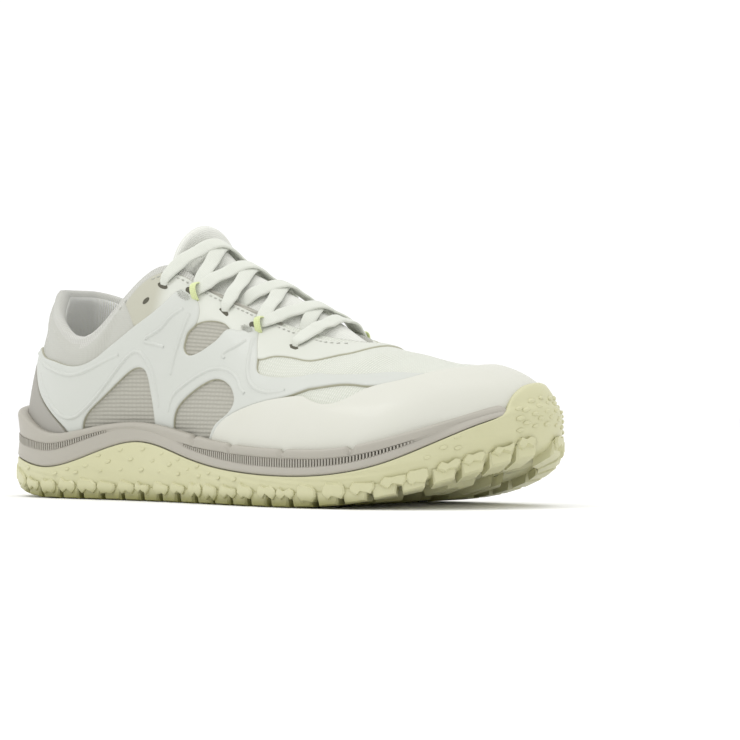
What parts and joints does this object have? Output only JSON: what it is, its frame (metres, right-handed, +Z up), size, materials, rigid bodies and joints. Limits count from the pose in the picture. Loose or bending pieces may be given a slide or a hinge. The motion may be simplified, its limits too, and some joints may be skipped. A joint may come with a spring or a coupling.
{
  "type": "barefoot running shoe",
  "caption": "Low lace-up trail shoe with a wide toe box, knit upper under a bonded film cage, thin zero-drop sole and lugged outsole.",
  "frame": {"origin": "middle of the shoe's length and width, on the floor that it stands on", "axes": "+X from heel to toe, +Y towards the inner side of this right shoe, +Z up"},
  "size_m": [0.26, 0.0964, 0.1134],
  "materials": {
    "knit": "ribbed polyester knit",
    "tongue_knit": "fine ribbed padded knit",
    "insole_fabric": "brushed fabric over foam",
    "foam": "satin moulded foam",
    "rubber": "satin moulded rubber",
    "lace": "flat woven lace",
    "film": "satin bonded film",
    "rand_film": "satin bonded film",
    "webbing": "narrow woven webbing"
  },
  "bodies": {
    "root": {"eyestay": "film", "heel_counter": "film", "insole": "insole_fabric", "lace_loop_lateral_2": "webbing", "lace_loop_lateral_4": "webbing", "lace_loop_medial_1": "webbing", "lace_loop_medial_2": "webbing", "lace_loop_medial_3": "webbing", "lace_loop_medial_4": "webbing", "lace_loop_medial_5": "webbing", "laces": "lace", "midsole": "foam", "outsole": "rubber", "side_cage_lateral": "film", "side_cage_medial": "film", "toe_rand": "rand_film", "tongue": "tongue_knit", "upper": "knit"}
  },
  "joints": []
}
